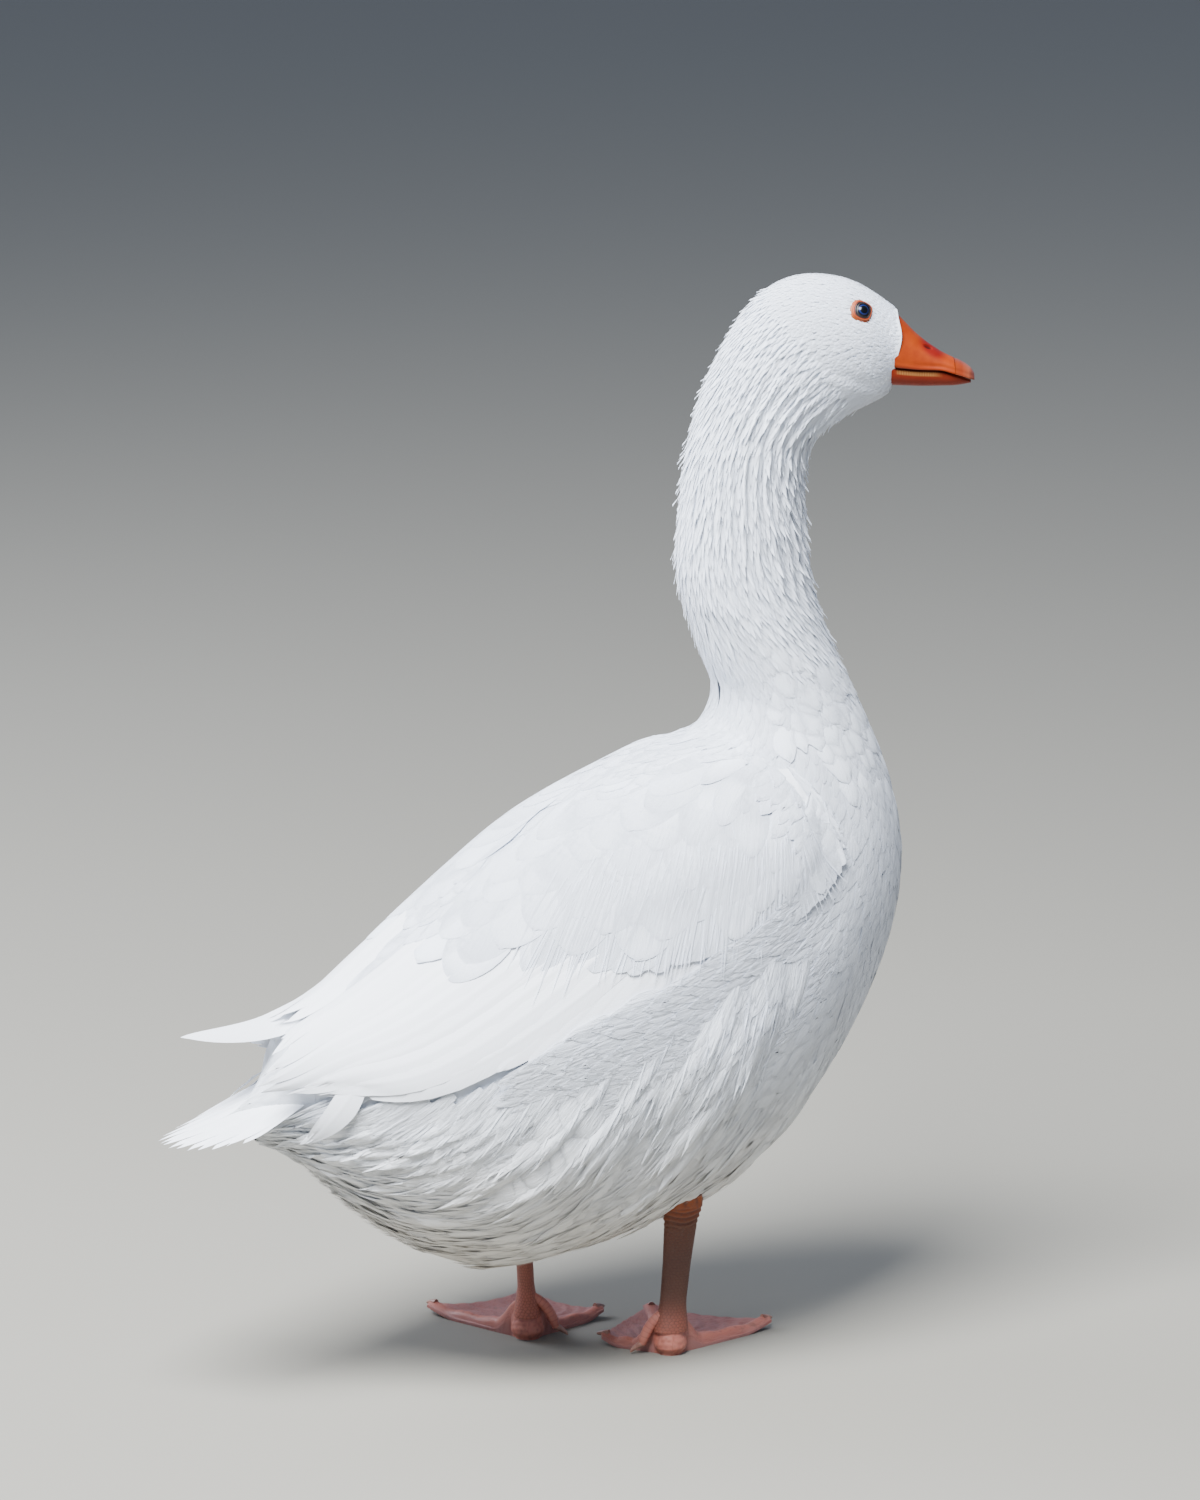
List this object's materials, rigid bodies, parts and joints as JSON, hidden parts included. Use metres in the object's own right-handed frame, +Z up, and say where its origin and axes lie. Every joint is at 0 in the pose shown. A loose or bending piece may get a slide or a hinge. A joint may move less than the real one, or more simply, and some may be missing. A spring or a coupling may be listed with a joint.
{
  "type": "domestic goose",
  "caption": "Life-size white domestic goose standing alert on webbed feet, neck upright, head turned to its right, wings folded.",
  "frame": {"origin": "on the floor, under the centre of the bounding box", "axes": "+X the way the body faces, +Y the goose's left, +Z up"},
  "size_m": [0.6158, 0.2578, 0.7901],
  "materials": {
    "plumage": "soft matte white contour feathers",
    "flight_feathers": "smooth satin white vanes",
    "bill": "satin orange leathery sheath",
    "bill_nail": "pale pinkish horn",
    "eye": "wet blue iris with a dark pupil",
    "shank_skin": "rough scaly brown-orange skin",
    "foot_skin": "wrinkled pink web and toes",
    "claw": "pale horn"
  },
  "bodies": {
    "root": {"head": "plumage", "neck_upper": "plumage", "neck_lower": "plumage", "trunk": "plumage", "wing_R": "plumage", "wing_L": "plumage", "thigh_R": "plumage", "thigh_L": "plumage", "primaries_R": "flight_feathers", "primaries_L": "flight_feathers", "tail": "flight_feathers", "bill_upper": "bill", "bill_lower": "bill", "bill_nail": "bill_nail", "eye_R": "eye", "eye_L": "eye", "shank_R": "shank_skin", "shank_L": "shank_skin", "foot_R": "foot_skin", "foot_L": "foot_skin", "hind_toe_R": "foot_skin", "hind_toe_L": "foot_skin", "claw_inner_R": "claw", "claw_middle_R": "claw", "claw_outer_R": "claw", "claw_hind_R": "claw", "claw_inner_L": "claw", "claw_middle_L": "claw", "claw_outer_L": "claw", "claw_hind_L": "claw"}
  },
  "joints": []
}
